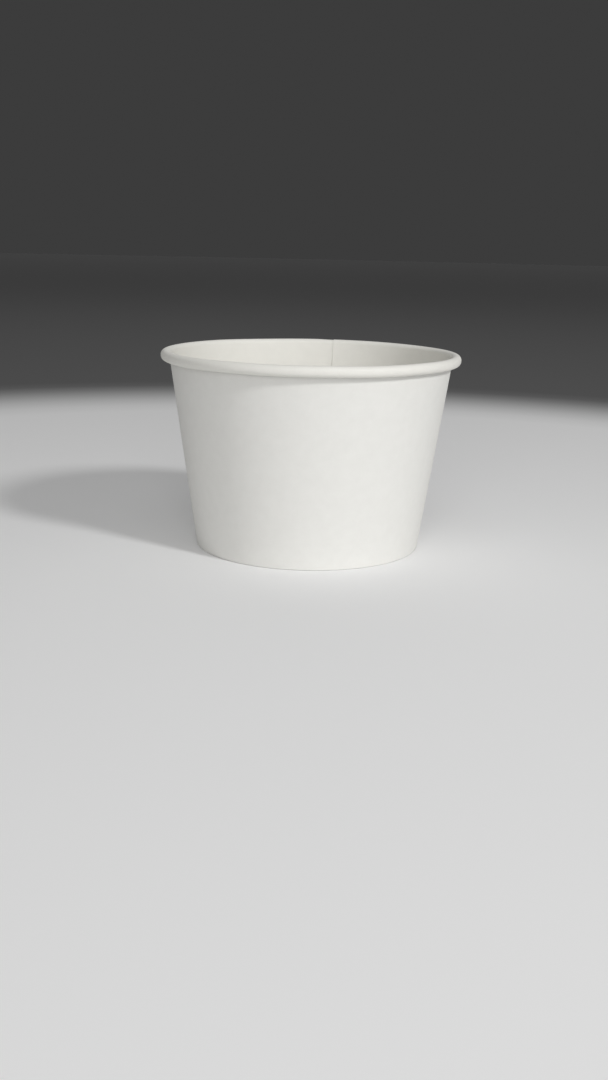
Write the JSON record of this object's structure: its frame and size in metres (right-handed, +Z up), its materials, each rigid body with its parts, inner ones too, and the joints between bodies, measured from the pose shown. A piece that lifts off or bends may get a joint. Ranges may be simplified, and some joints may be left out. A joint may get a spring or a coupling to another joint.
{
  "type": "paper sundae cup",
  "caption": "Low round paper cup with tapering side wall, lapped seam, thick rolled rim and a raised base disc held by a folded hem.",
  "frame": {"origin": "centre of the foot ring, on the surface the cup stands on", "axes": "+Z up the cup's axis, +Y towards its back; the inner edge of the lap seam is at the back, 10.5 degrees from +Y towards +X"},
  "size_m": [0.095, 0.095, 0.0624],
  "materials": {
    "coated_board": "satin"
  },
  "bodies": {
    "root": {"side_wall": "coated_board", "base_disc": "coated_board"}
  },
  "joints": []
}
